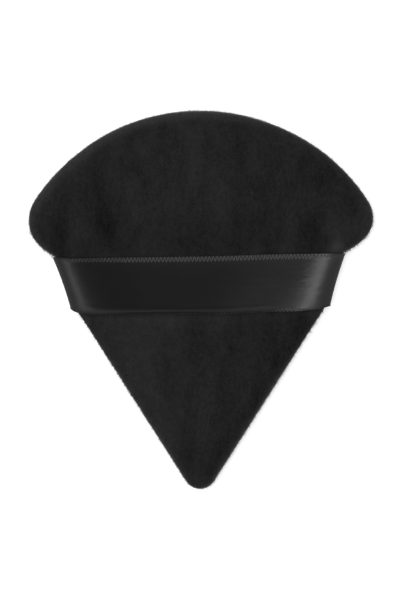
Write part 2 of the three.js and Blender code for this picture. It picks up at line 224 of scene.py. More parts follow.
class PowderPuffSettings(bpy.types.PropertyGroup):
    """All settings of the powder puff."""

    puff: PointerProperty(type=PuffSizes)
    ribbon: PointerProperty(type=RibbonSizes)
    pile: PointerProperty(type=PileSizes)
    thread: PointerProperty(type=ThreadSizes)
    colours: PointerProperty(type=PuffColours)
    studio: PointerProperty(type=StudioSettings)


# Folds of the front face above the ribbon: X, half width and height of each, how it slants as it runs up, and
# the distances above the ribbon at which it is fullest and runs out.
FRONT_FOLDS = (
    (-28.7 * MM, 2.1 * MM, -0.7 * MM, -0.1, 5 * MM, 15 * MM),
    (-24.6 * MM, 1.9 * MM, 0.6 * MM, -0.05, 4 * MM, 14 * MM),
    (-19.6 * MM, 2.9 * MM, -1.15 * MM, -0.05, 9 * MM, 20 * MM),
    (23.4 * MM, 2.4 * MM, -0.9 * MM, 0.0, 3 * MM, 12 * MM),
    (28.8 * MM, 1.6 * MM, 1.0 * MM, 0.2, 0.5 * MM, 7 * MM),
)
FOLD_FOOT = -4 * MM
TIP_STEPS, SIDE_STEPS, SHOULDER_STEPS, CROWN_STEPS = 40, 700, 120, 200
# Shares of the puff's length over which the lean of its upper corners comes and goes.
LEAN_COMES, LEAN_GOES = (0.12, 0.22), (0.38, 0.48)
# Patches of the front with a painted highlight: X, Y, half width and half height of each, and how much
# lighter.
PAINTED_HIGHLIGHTS = (
    (28.6 * MM, 10.8 * MM, 1.8 * MM, 1.3 * MM, 2.2),
    (31.6 * MM, 15.3 * MM, 4 * MM, 3.5 * MM, 1.1),
)
# Painted light over the shade beside the ribbon's lower and upper edge: how far each strip reaches, and how
# much lighter it is.
LOWER_FILL_STRIP, UPPER_FILL_STRIP = (0.9 * MM, 1.5), (0.6 * MM, 0.6)
# Negative X over which the lower strip ends on the right, and how far the painted light beside the ribbon
# reaches.
STRIP_END, PAINTED_FILL_REACH = (-29 * MM, -20 * MM), 5 * MM
# Y over which the lower part ends, negative Y over which the tip darkens, and where the rim's painted sheen
# starts.
LOWER_PART, TIP_PART, RIM_START = (-8 * MM, 8 * MM), (20 * MM, 36 * MM), 0.925
# Turn of the rim, from +X, at which its painted sheen is brightest.
PAINTED_SHEEN_TURN = math.radians(130)
# X over which the ribbon's sag comes on the left and goes towards the right.
SAG_COMES, SAG_GOES = (-30.5 * MM, -27 * MM), (0, 21 * MM)
# X and half width of the stretches where the ribbon's lower edge curls least and where it turns under least.
FLAT_EDGE, STRAIGHT_EDGE = (20 * MM, 5 * MM), (6.5 * MM, 7.5 * MM)
# Waves along the satin, and the heights above the seam between which they grow.
SHORT_WAVE, LONG_WAVE, WAVE_SLANT, WAVE_RISE = 4.1 * MM, 7.3 * MM, 5 * MM, (2 * MM, 8 * MM)
# How fast the gather grows towards the lower edge, and the share of the ribbon's drop at which it starts.
GATHER_POWER, GATHER_START = 1.6, 0.3
RIBBON_ROWS, FREE_STEPS, ARCH_STEPS, BEND_STEPS, TUCK_STEPS = 33, 81, 56, 9, 7
SELVEDGE_START = 8
# Heights above the seam between which the selvedge's loops open out and their painted shade lifts, and X
# between which its upper loops grow.
SELVEDGE_RISE, SELVEDGE_EASE = (4.5 * MM, 8.5 * MM), (-24 * MM, -11 * MM)
SEAM_POINTS, GAP_POINTS, TACK_POINTS = 700, 60, 30
SEAM_STEP = 0.2 * MM
CLOSING_INSET, TACK_DROP = 0.5 * MM, 0.8 * MM
# The blend of a ribbon's end runs from here inside the rim to here past its cut.
HELD_MARGIN, FREE_MARGIN = 1.5 * MM, 0.3 * MM
# Widest half of the seam's opening, how far it goes past the ribbon's edge, and over what it closes.
MOUTH, MOUTH_MARGIN, MOUTH_EASE = 0.3 * MM, 0.5 * MM, 1.5 * MM
SWELL_LIMIT, SWELL_POWER = 0.8 * MM, 6
PUCKER_REACH = 1.6 * MM
FOAM_COUNT = 64
ROLL_STEPS, BRUSHED_ROLLS = 7, 3
LINING_SHARE = 0.93
ALLOWANCE_SHARE = 0.8
RISE_POWER = 4
DRAW_POWER = 6
RIM_CROWDING = 1.25
PILE_FLOOR = 0.02 * MM
# Length of the shortest tufts, how much more the rest have, and how much more again the rare long ones have.
SHORT_TUFT, TUFT_SPREAD, LONG_TUFT, LONG_RARITY = 0.6, 0.5, 0.9, 60
# Cloth of the covers, which is eight times its size while it settles.
CLOTH_SCALE = 8.0
DRAWN_BY_FRAME = 12
WRINKLE, WRINKLE_SEED, EVENINGS = 0.05 * MM, 11, 4
CLOTH = {
    "vertex_group_mass": "rim",
    "quality": 5,
    "mass": 0.2,
    "air_damping": 4,
    "tension_stiffness": 20,
    "compression_stiffness": 20,
    "shear_stiffness": 10,
    "bending_stiffness": 1.2,
    "use_pressure": True,
    "uniform_pressure_force": 4,
}
# Way, distance, width and height of each softbox.
SOFTBOXES = {
    "right": ((1.0, -0.2, 0.47), 0.75, 1.4, 0.2),
    "left": ((-1.0, -0.15, 0.08), 0.75, 1.4, 0.14),
    "rim": ((-0.7, 0.75, 0.3), 0.75, 0.8, 0.2),
    "upper": ((0.55, 0.0, 1.0), 1.1, 0.5, 0.45),
    "fill": ((-0.12, 0.05, 1.0), 1.2, 0.5, 0.5),
}
# Brightness of the room from straight below to straight above.
ROOM_STOPS = ((0.0, 0.16), (0.4, 0.32), (0.52, 0.45), (0.6, 0.4), (0.7, 0.18), (0.82, 0.08), (0.95, 0.05))
CAMERA_SHIFT = (0.1 * MM, -0.15 * MM)
TABLE_CORNERS, TABLE_RADIUS, TABLE_DROP = 96, 4.0, 0.1 * MM


def smooth(value, low, high):
    """Goes from 0 at low to 1 at high with an easy start and end."""
    t = np.clip((value - low) / (high - low), 0, 1)
    return t * t * (3 - 2 * t)


def hump(value, middle, half_width):
    """Goes from 1 in the middle towards 0 on both sides."""
    return np.exp(-(((value - middle) / half_width) ** 2))


def unit(vectors):
    return vectors / np.linalg.norm(vectors, axis=-1, keepdims=True)


def arc(centre, radius, start, end, count):
    turn = np.linspace(start, end, count)
    return np.asarray(centre) + radius * np.stack((np.cos(turn), np.sin(turn)), -1)


class Face:
    """One side of the puff: which way it looks, how far it rises and how wide its rounding is."""

    def __init__(self, up, rise, rounding):
        self.up, self.rise, self.rounding = up, rise, rounding


class PuffShape:
    """The puff's outline, the heights of its faces and the path of its ribbon, from their sizes."""

    def __init__(self, settings, drawn=1.0, inset=0.0):
        self.puff, self.ribbon = settings.puff, settings.ribbon
        self.drawn, self.inset = drawn, inset
        puff = self.puff
        half = puff.tip_angle / 2
        self.tip_y = puff.tip_radius - puff.length / 2
        self.apex = self.tip_y - puff.tip_radius / math.sin(half)
        self.crown_y = puff.length / 2 - puff.crown_radius
        self.core = np.array((0.0, self.ribbon.middle))
        self.front = Face(1, puff.front_rise - inset, puff.front_rounding)
        self.back = Face(-1, puff.back_rise - inset, puff.back_rounding)
        rim = self.plain_outline()
        self.plain_turn, self.plain_reach = self.polar(rim)
        rim[:, 0] -= np.sign(rim[:, 0]) * self.waist(rim[:, 1], np.sign(rim[:, 0]))
        self.rim_turn, self.rim_reach = self.polar(rim)
        self.rim_depth = self.depth(rim[:, 0], rim[:, 1])
        run = np.concatenate(((0,), np.cumsum(np.hypot(*np.diff(rim, axis=0).T))))
        stitches = round(run[-1] / settings.thread.seam_stitch)
        self.gathers = self.seam_gathers(2 * math.pi * stitches * run / run[-1])

    def polar(self, outline):
        """Turn and reach of an outline's points, seen from the core."""
        away = outline - self.core
        return np.unwrap(np.arctan2(away[:, 1], away[:, 0])), np.hypot(away[:, 0], away[:, 1]) - self.inset

    def around(self, turn, values):
        """Values of the rim's points, read at any turn."""
        return np.interp(turn, self.rim_turn, values, period=2 * math.pi)

    def seam_gathers(self, phase):
        """Dips of the cover between the seam's stitches, uneven as sewn ones are."""
        turn = self.rim_turn
        uneven = 0.6 + 0.4 * np.sin(11 * turn) * np.sin(7 * turn + 1)
        return uneven * (np.cos(phase + 0.9 * np.sin(9 * turn)) - 1)

    def plain_outline(self):
        """Points round the outline before the ribbon draws it in, anticlockwise from the tip."""
        puff = self.puff
        half = puff.tip_angle / 2
        along = np.array((math.sin(half), math.cos(half)))
        inward = np.array((-math.cos(half), math.sin(half)))
        crown = np.array((0.0, self.crown_y))
        start = np.array((0.0, self.apex)) + puff.shoulder_radius * inward
        offset = start - crown
        back = offset @ along
        reach = puff.crown_radius - puff.shoulder_radius
        shoulder = start + along * (math.sqrt(back**2 - offset @ offset + reach**2) - back)
        turn = math.atan2(shoulder[1] - self.crown_y, shoulder[0])
        side_start = np.array((0.0, self.tip_y)) - puff.tip_radius * inward
        side_end = shoulder - puff.shoulder_radius * inward
        right = np.concatenate(
            (
                arc((0, self.tip_y), puff.tip_radius, -math.pi / 2, -half, TIP_STEPS),
                side_start + np.linspace(0, 1, SIDE_STEPS)[1:-1, None] * (side_end - side_start),
                arc(shoulder, puff.shoulder_radius, -half, turn, SHOULDER_STEPS),
                arc(crown, puff.crown_radius, turn, math.pi / 2, CROWN_STEPS)[1:],
            )
        )
        outline = np.concatenate((right, right[-2:0:-1] * (-1, 1)))
        y = outline[:, 1] / puff.length
        outline[:, 0] += puff.lean * smooth(y, *LEAN_COMES) * (1 - smooth(y, *LEAN_GOES))
        return outline

    def waist(self, y, side):
        """How far the rim is drawn in by the ribbon, where side is 1 on the right."""
        ribbon = self.ribbon
        level = y - side * ribbon.skew / 2
        tip_edge = ribbon.middle - ribbon.width / 2
        deepest = ribbon.middle + ribbon.width / 2 + ribbon.waist_margin
        top, fade = (np.where(np.asarray(side) > 0, w[1], w[0]) for w in (ribbon.waist, ribbon.waist_fade))
        climb = np.clip((level - tip_edge) / (deepest - tip_edge), 0, 1)
        between = ribbon.waist_at_tip_edge + (top - ribbon.waist_at_tip_edge) * climb
        to_crown = np.exp(-np.maximum(level - deepest, 0) / fade)
        to_tip = np.exp(np.minimum(level - tip_edge, 0) / ribbon.waist_fade_to_tip)
        return self.drawn * between * to_crown * to_tip

    def side_x(self, y, side):
        """Half the puff's width on its straight side."""
        return (y - self.apex) * math.tan(self.puff.tip_angle / 2) - self.waist(y, side)

    def depth(self, x, y):
        """Depth inside the plain outline: the distances to its sides and its crown, melted together."""
        half, soft = self.puff.tip_angle / 2, self.puff.ridge_softness
        to_side, across = (y - self.apex) * math.sin(half), x * math.cos(half)
        to_crown = self.puff.crown_radius - np.hypot(x, y - self.crown_y)
        return -soft * np.log(sum(np.exp(-d / soft) for d in (to_side - across, to_side + across, to_crown)))

    def at(self, part, turn):
        """X and Y at a part of the way from the core to the rim, which is drawn in only near its end."""
        plain = np.interp(turn, self.plain_turn, self.plain_reach, period=2 * math.pi)
        drawn = self.around(turn, self.rim_reach)
        reach = part * (plain + (drawn - plain) * np.abs(part) ** DRAW_POWER)
        return self.core[0] + reach * np.cos(turn), self.core[1] + reach * np.sin(turn)

    def ribbon_y(self, row, x):
        """Y of a row of the ribbon where it crosses X."""
        ribbon = self.ribbon
        sag = ribbon.sag * smooth(x, *SAG_COMES) * (1 - smooth(x, *SAG_GOES))
        return ribbon.middle + row + ribbon.skew * x / (2 * self.side_x(ribbon.middle, 0)) - sag

    def valley(self, x, y):
        """How far the front is pressed in under the ribbon."""
        ribbon = self.ribbon
        floor = ribbon.width / 2 + ribbon.valley_margin
        level = np.abs(y - self.ribbon_y(0, x))
        right = smooth(x, 0, ribbon.width) * (1 - smooth(x, ribbon.cut, 2 * ribbon.width))
        depth = ribbon.valley_depth + ribbon.right_valley * right
        return depth * (1 - smooth(level, floor, floor + ribbon.valley_ease))

    def folds(self, x, y):
        """Height of the soft folds that stand above the ribbon's ends."""
        up = y - self.ribbon_y(self.ribbon.width / 2, x)
        total = np.zeros_like(x)
        for middle, half_width, height, slant, fullest, end in FRONT_FOLDS:
            run = smooth(up, FOLD_FOOT, fullest) * (1 - smooth(up, fullest, end))
            total += height * run * hump(x, middle + slant * up, half_width)
        return total

    def height(self, face, part, turn):
        """Height of a face above or below the seam."""
        puff = self.puff
        x, y = self.at(part, turn)
        inside = self.depth(x, y) - self.around(turn, self.rim_depth) * part**RISE_POWER
        left = 1 - np.clip(inside / face.rounding, 0, 1)
        climb = (1 - left**puff.rounding_power) ** (1 / puff.rounding_power)
        rise = face.rise - puff.edge_roll
        if face.up > 0:
            rise = rise - self.valley(x, y) + self.folds(x, y) * self.drawn
        gathers = self.around(turn, self.gathers)
        from_rim = (1 - part) * self.around(turn, self.rim_reach)
        return puff.edge_roll + rise * climb + puff.pucker * gathers * np.exp(-from_rim / PUCKER_REACH)

    def seam_half_gap(self, x, y):
        """Half the seam's opening, wider where the ribbon goes in."""
        ribbon = self.ribbon
        level = np.abs(y - self.ribbon_y(0, x))
        edge = ribbon.width / 2 + MOUTH_MARGIN
        narrow = self.puff.seam_gap / 2
        return narrow + (MOUTH - narrow) * (1 - smooth(level, edge, edge + MOUTH_EASE))

    def lowness(self, row):
        """Goes from 0 at the ribbon's upper edge to 1 at its lower edge."""
        return 0.5 - row / self.ribbon.width

    def arch_span(self, row, side):
        """Half the span of the ribbon's arch for one row."""
        ribbon = self.ribbon
        edge = self.side_x(ribbon.middle + row + self.gather(row, side) + side * ribbon.skew / 2, side)
        stands = ribbon.stand_off + ribbon.flare * self.lowness(row)
        return float(edge) + stands + ribbon.bend - ribbon.bow * (1 - (2 * row / ribbon.width) ** 2)

    def arch_power(self, row, side):
        """The power that rounds one row of the arch."""
        ribbon = self.ribbon
        return 2 / (ribbon.power[side > 0] - ribbon.slack[side > 0] * self.lowness(row))

    def gather(self, row, side):
        """How far a row has moved up where it goes into the seam."""
        return self.ribbon.gather[side > 0] * self.lowness(row) ** GATHER_POWER

    def ribbon_line(self, row, side):
        """Points of one row of the ribbon from its cut to the end of its tuck."""
        ribbon, seam = self.ribbon, self.puff.seam_height
        span = self.arch_span(row, side)
        power = self.arch_power(row, side)
        turn = math.acos((ribbon.cut / span) ** (1 / power)) * np.linspace(1, 0, ARCH_STEPS)
        rise = ribbon.top - ribbon.bend - seam
        x = span * np.cos(turn) ** power
        z = seam + ribbon.bend + rise * np.sin(turn) ** power
        bend = np.linspace(0, math.pi / 2, BEND_STEPS)[1:]
        x = np.concatenate((x, span - ribbon.bend * (1 - np.cos(bend))))
        z = np.concatenate((z, seam + ribbon.bend * (1 - np.sin(bend))))
        tuck = np.linspace(0, 1, TUCK_STEPS)[1:] * (ribbon.tuck + ribbon.stand_off)
        x = np.concatenate((x, span - ribbon.bend - tuck))
        z = np.concatenate((z, np.full(len(tuck), seam)))
        drop = 1 - (z - seam) / (ribbon.top - seam)
        y = self.ribbon_y(row, side * x) + self.gather(row, side) * smooth(drop, GATHER_START, 1)
        return np.stack((side * x, y, z), -1)

    def ribbon_grid(self):
        """Middle surface of the whole ribbon from left to right, its normals and the rows at its cuts."""
        ribbon = self.ribbon
        rows = np.linspace(-0.5, 0.5, RIBBON_ROWS) * ribbon.width
        left = np.stack([self.ribbon_line(row, -1) for row in rows], 1)[::-1]
        right = np.stack([self.ribbon_line(row, 1) for row in rows], 1)
        x = np.linspace(-ribbon.cut, ribbon.cut, FREE_STEPS)[1:-1]
        middle = np.stack([self.free_line(row, x) for row in rows], 1)
        points = np.concatenate((left, middle, right))
        lifted = smooth(points[..., 2] - self.puff.seam_height, *WAVE_RISE)
        x, row = points[..., 0], np.broadcast_to(rows, points.shape[:2])
        wave = np.sin(x / SHORT_WAVE + 0.7) * 0.6 + np.sin(x / LONG_WAVE - row / WAVE_SLANT + 2.0)
        points[..., 2] += lifted * ribbon.wave * wave
        turned = np.clip((-row - ribbon.width / 2 + ribbon.curl_width) / ribbon.curl_width, 0, 1)
        turned = turned * lifted * (1 - 0.75 * hump(x, *FLAT_EDGE))
        points[..., 2] -= ribbon.curl * turned**2
        points[..., 1] += (0.3 - 0.25 * hump(x, *STRAIGHT_EDGE)) * ribbon.curl * turned**2
        normal = unit(np.cross(np.gradient(points, axis=0), np.gradient(points, axis=1)))
        return points, normal, len(left) - 1, len(left) + len(middle)

    def free_line(self, row, x):
        """Points of one row of the ribbon's free stretch."""
        ribbon, seam = self.ribbon, self.puff.seam_height
        power = np.where(x < 0, self.arch_power(row, -1), self.arch_power(row, 1))
        span = np.where(x < 0, self.arch_span(row, -1), self.arch_span(row, 1))
        turn = np.arccos((np.abs(x) / span) ** (1 / power))
        z = seam + ribbon.bend + (ribbon.top - ribbon.bend - seam) * np.sin(turn) ** power
        return np.stack((x, self.ribbon_y(row, x), z), -1)


def disc_grid(count):
    """A square grid wrapped onto a disc: the part of the way to the rim and the turn of each point."""
    line = np.linspace(-1, 1, count)
    a, b = np.meshgrid(line, line, indexing="ij")
    x, y = a * np.sqrt(1 - b * b / 2), b * np.sqrt(1 - a * a / 2)
    return np.minimum(np.hypot(x, y), 1), np.arctan2(y, x)


def face_points(shape, face, part, turn):
    x, y = shape.at(part, turn)
    return np.stack((x, y, shape.puff.seam_height + face.up * shape.height(face, part, turn)), -1)


def face_grid(shape, face, count, scale=1.0, swell=None):
    """Points of one face on a square grid, and its normals there, which look out of the puff."""
    part, turn = disc_grid(count)
    part = scale * (1 - (1 - part) ** RIM_CROWDING)
    step = 0.001
    points = face_points(shape, face, part, turn)
    outward = points - face_points(shape, face, part - step, turn)
    along = face_points(shape, face, part, turn + step) - points
    normal = unit(face.up * np.cross(outward, along))
    if swell is not None:
        points = points + normal * (refine(swell, count) * (1 - part**SWELL_POWER))[..., None]
        points[..., 2] = np.maximum(points[..., 2], shape.inset)
    return points, normal


def refine(coarse, count):
    """A coarse grid of numbers read on a finer one, with smooth cubic weights."""
    last = len(coarse) - 1
    at = np.linspace(0, last, count)
    cell = np.clip(at.astype(int), 0, last - 1)
    t = at - cell
    kernels = (
        t * ((2 - t) * t - 1) / 2,
        (t * t * (3 * t - 5) + 2) / 2,
        t * ((4 - 3 * t) * t + 1) / 2,
        (t - 1) * t * t / 2,
    )
    weights = np.zeros((count, last + 1))
    for k, kernel in enumerate(kernels):
        np.add.at(weights, (np.arange(count), np.clip(cell + k - 1, 0, last)), kernel)
    return weights @ coarse @ weights.T


def grid_faces(rows, columns, start=0):
    """Faces of a grid. A corner's face starts at the corner or opposite it, so no sliver is cut off there."""
    index = start + np.arange(rows * columns).reshape(rows, columns)
    faces = np.stack((index[:-1, :-1], index[1:, :-1], index[1:, 1:], index[:-1, 1:]), -1)
    for i, j in ((0, -1), (-1, 0)):
        faces[i, j] = np.roll(faces[i, j], 1)
    return faces.reshape(-1, 4)


def turned_over(faces):
    """Faces that look the other way, still split along the same diagonal."""
    return faces[:, (0, 3, 2, 1)]


def edge_loop(rows, columns, start=0):
    """Points round the edge of a grid, anticlockwise seen from its front."""
    index = start + np.arange(rows * columns).reshape(rows, columns)
    return np.concatenate((index[:-1, 0], index[-1, :-1], index[:0:-1, -1], index[0, :0:-1]))


def bridge(upper, lower):
    """Faces between two loops of points."""
    return np.stack((upper, lower, np.roll(lower, -1), np.roll(upper, -1)), -1)


def pillow_faces(rows, columns):
    """Faces of two grids of points, front and back, that are closed round their edges."""
    count = rows * columns
    sides = grid_faces(rows, columns), turned_over(grid_faces(rows, columns, count))
    return np.concatenate((*sides, bridge(edge_loop(rows, columns), edge_loop(rows, columns, count))))


def mesh_of(name, points, faces):
    mesh = bpy.data.meshes.new(name)
    mesh.from_pydata(np.asarray(points).reshape(-1, 3).tolist(), [], np.asarray(faces).tolist())
    mesh.polygons.foreach_set("use_smooth", np.ones(len(mesh.polygons), bool))
    mesh.update()
    return mesh


def placed(name, mesh):
    made = bpy.data.objects.new(name, mesh)
    bpy.context.collection.objects.link(made)
    return made


def store(mesh, name, kind, domain, values):
    """Keeps one value for each point, edge or face of a mesh under a name."""
    key = "vector" if kind == "FLOAT_VECTOR" else "value"
    mesh.attributes.new(name, kind, domain).data.foreach_set(key, np.asarray(values).ravel())


def find(sockets, key):
    """A socket by its number, or the first one in use with that name."""
    if isinstance(key, int):
        return sockets[key]
    return next(s for s in sockets if s.name == key and s.enabled)


class Value:
    """A node's output that takes part in Python arithmetic, with one Math node for each step."""

    def __init__(self, graph, socket):
        self.graph, self.socket = graph, socket

    def step(self, operation, first, second):
        return self.graph.node("ShaderNodeMath", {"operation": operation}, {0: first, 1: second})

    def __add__(self, other):
        return self.step("ADD", self, other)

    def __radd__(self, other):
        return self.step("ADD", other, self)

    def __sub__(self, other):
        return self.step("SUBTRACT", self, other)

    def __mul__(self, other):
        return self.step("MULTIPLY", self, other)

    def __rmul__(self, other):
        return self.step("MULTIPLY", other, self)

    def __pow__(self, other):
        return self.step("POWER", self, other)


class Graph:
    """Adds nodes to one node tree."""

    def __init__(self, tree):
        self.tree = tree
        tree.nodes.clear()

    def node(self, kind, settings=None, sockets=None, output=0):
        """One node with its settings made first, then its sockets fed, given back as one of its outputs."""
        made = self.tree.nodes.new(kind)
        for name, value in (settings or {}).items():
            if name == "stops":
                self.set_stops(made.color_ramp, value)
            else:
                setattr(made, name, value)
        for name, value in (sockets or {}).items():
            self.feed(find(made.inputs, name), value)
        return Value(self, find(made.outputs, output)) if made.outputs else made

    def feed(self, socket, value):
        if isinstance(value, Value):
            self.tree.links.new(value.socket, socket)
        else:
            socket.default_value = value

    @staticmethod
    def set_stops(ramp, stops):
        while len(ramp.elements) < len(stops):
            ramp.elements.new(1)
        for element, (position, level) in zip(ramp.elements, stops):
            element.position = position
            element.color = (level, level, level, 1)


class Finish(Graph):
    """The nodes of one material, which end in one Principled shader."""

    def __init__(self, name):
        self.material = bpy.data.materials.new(name)
        self.material.use_nodes = True
        super().__init__(self.material.node_tree)

    def place(self, scale=(1, 1, 1), turn=0.0):
        """The piece's own coordinates in metres, stretched for a pattern."""
        at = self.node("ShaderNodeTexCoord", output="Object")
        return self.node("ShaderNodeMapping", {}, {"Vector": at, "Rotation": (0, 0, turn), "Scale": scale})

    def noise(self, at, scale, detail, roughness=0.5):
        sockets = {"Vector": at, "Scale": scale, "Detail": detail, "Roughness": roughness}
        return self.node("ShaderNodeTexNoise", {}, sockets, "Fac")

    def tinted(self, tint, factor):
        """A colour made lighter and darker by a value."""
        sockets = {"Vector": tuple(tint), "Scale": factor}
        return self.node("ShaderNodeVectorMath", {"operation": "SCALE"}, sockets)

    def bump(self, height, distance, strength):
        sockets = {"Height": height, "Distance": distance, "Strength": strength}
        return self.node("ShaderNodeBump", {}, sockets, "Normal")

    def close(self, tint, roughness, specular, **more):
        """Ends in one Principled shader, where a word like sheen_weight means the socket Sheen Weight."""
        sockets = {key.replace("_", " ").title(): value for key, value in more.items()}
        sockets |= {"Base Color": tint, "Roughness": roughness, "Specular IOR Level": specular}
        shader = self.node("ShaderNodeBsdfPrincipled", {}, sockets)
        self.node("ShaderNodeOutputMaterial", {}, {"Surface": shader})
        return self.material


def velour_finish(colours):
    """Napped cloth: soft clouds of brushing in the pile, and a fine grain of fibre tips."""
    finish = Finish("velour")
    clouds = finish.noise(finish.place((1.9, 0.6, 1.0)), 95, 3)
    patches = finish.noise(finish.place((1.4, 0.7, 1)), 330, 2)
    grain = finish.noise(finish.place(), 3200, 2, 0.7)
    # An attribute of the covers that paints light and shade into the velour's colour, along with some plain
    # tone.
    nap = finish.node("ShaderNodeAttribute", {"attribute_name": "nap"}, output="Fac")
    flecks = finish.noise(finish.place((1.3, 0.8, 1)), 1150, 2)
    light = 1.1 * clouds + 0.6 * patches + 0.9 * flecks + 1.2 * grain + 0.33 * nap
    tips = finish.noise(finish.place((1, 0.7, 1)), 2400, 2, 0.7)
    return finish.close(
        finish.tinted(colours.velour, light - 0.9),
        roughness=0.95,
        specular=0.1,
        sheen_weight=0.7,
        sheen_roughness=0.35,
        sheen_tint=(*colours.velour_sheen, 1),
        normal=finish.bump(tips + 0.6 * patches, 0.12 * MM, 0.6),
    )


def pile_finish(colours):
    """The fibres that stand out of the velour."""
    finish = Finish("velour_pile")
    clouds = finish.noise(finish.place((1.5, 0.8, 1.0)), 95, 3)
    tint, sheen = finish.tinted(colours.velour, 0.45 + 0.7 * clouds), (*colours.velour_sheen, 1)
    return finish.close(tint, roughness=0.95, specular=0.05, sheen_weight=0.12, sheen_tint=sheen)


def satin_finish(colours):
    """Satin weave: long floats along the ribbon that break here and there, with faint wefts across."""
    finish = Finish("satin")
    at = finish.node("ShaderNodeTexCoord", output="UV")
    parts = finish.node("ShaderNodeSeparateXYZ", {}, {"Vector": at}).socket.node
    along, across = (Value(finish, find(parts.outputs, axis)) for axis in "XY")
    floats = finish.node("ShaderNodeMath", {"operation": "SINE"}, {0: across * (2 * math.pi * 92)})
    # Painted highlight: the satin is made lighter towards its upper edge, fading in from the ribbon's left
    # end.
    from_left = finish.node("ShaderNodeMapRange", {}, {"Value": along, "From Min": 1.3, "From Max": 2.9})
    edge = across**10 * from_left

    def woven(scale, detail):
        return finish.noise(finish.node("ShaderNodeMapping", {}, {"Vector": at, "Scale": scale}), 1, detail)

    breaks = woven((26, 190, 1), 2)
    broad = woven((2.2, 3.5, 1), 2)
    creases = woven((3.2, 11, 1), 3)
    return finish.close(
        finish.tinted(colours.satin, 0.7 + 0.4 * breaks + 0.25 * broad + 1.1 * edge),
        roughness=0.25 + 0.1 * breaks,
        specular=0.5,
        anisotropic=0.15,
        normal=finish.bump(floats * 0.3 + breaks + 7 * creases, 0.02 * MM, 0.5),
    )


def thread_finish(name, tint, gloss):
    """Twisted yarn, with fine slanting plies."""
    finish = Finish(name)
    plies = finish.noise(finish.place(turn=0.7), 5200, 1)
    fluff = finish.noise(finish.place(), 900, 2)
    # Painted shade: yarn that steps less far across, on the ribbon's turned-under lower edge and where it
    # runs low into the seam, is darkened. Thread that steps a whole way keeps its colour.
    across = finish.node("ShaderNodeAttribute", {"attribute_name": "across"}, output="Vector")
    reach = finish.node("ShaderNodeVectorMath", {"operation": "LENGTH"}, {"Vector": across}, "Value")
    shown = finish.node("ShaderNodeMapRange", {}, {"Value": reach, "From Min": 0.45, "To Min": 0.12})
    tint = finish.tinted(tint, (0.6 + 0.5 * plies + 0.3 * fluff) * shown)
    bump = finish.bump(plies, 0.03 * MM, 0.6)
    return finish.close(tint, roughness=gloss + 0.15 * plies, specular=0.5, normal=bump)


def foam_finish(colours):
    """Open foam with small round cells."""
    finish = Finish("foam")
    at = finish.place()
    cells = finish.node("ShaderNodeTexVoronoi", {}, {"Vector": at, "Scale": 1300.0}, "Distance")
    blotch = finish.noise(at, 140, 3)
    tint = finish.tinted(colours.foam, 0.5 + 0.9 * cells + 0.3 * blotch)
    return finish.close(tint, roughness=1.0, specular=0.1, normal=finish.bump(cells, 0.3 * MM, 0.8))


class Pattern(Graph):
    """A Geometry Nodes tree with named inputs, which grows a mesh on a base."""

    def __init__(self, name, inputs):
        tree = bpy.data.node_groups.new(name, "GeometryNodeTree")
        super().__init__(tree)
        tree.interface.new_socket("Geometry", in_out="OUTPUT", socket_type="NodeSocketGeometry")
        tree.interface.new_socket("Geometry", in_out="INPUT", socket_type="NodeSocketGeometry")
        for input_name, kind in inputs.items():
            tree.interface.new_socket(input_name, in_out="INPUT", socket_type="NodeSocket" + kind)
        self.entry = tree.nodes.new("NodeGroupInput")

    def given(self, name):
        return Value(self, find(self.entry.outputs, name))

    def vector(self, operation, sockets):
        return self.node("ShaderNodeVectorMath", {"operation": operation}, sockets)

    def attribute(self, name, kind="FLOAT_VECTOR"):
        return self.node("GeometryNodeInputNamedAttribute", {"data_type": kind}, {"Name": name}, "Attribute")

    def close(self, geometry):
        plain = self.node("GeometryNodeRealizeInstances", {}, {"Geometry": geometry})
        material = self.given("Material")
        finished = self.node("GeometryNodeSetMaterial", {}, {"Geometry": plain, "Material": material})
        self.node("NodeGroupOutput", {}, {"Geometry": finished})
        return self

    def grow(self, name, base, values):
        """The piece that the pattern makes on a base mesh, as a plain mesh."""
        carrier = bpy.data.objects.new(name + "_base", base)
        modifier = carrier.modifiers.new(self.tree.name, "NODES")
        modifier.node_group = self.tree
        for item in self.tree.interface.items_tree:
            if item.in_out == "INPUT" and item.name in values:
                modifier[item.identifier] = values[item.name]
        bpy.context.collection.objects.link(carrier)
        depsgraph = bpy.context.evaluated_depsgraph_get()
        mesh = bpy.data.meshes.new_from_object(carrier.evaluated_get(depsgraph), depsgraph=depsgraph)
        bpy.data.objects.remove(carrier)
        if not mesh.polygons:
            raise RuntimeError(f"{name}: the pattern {self.tree.name} made nothing")
        mesh.name = name
        return placed(name, mesh)


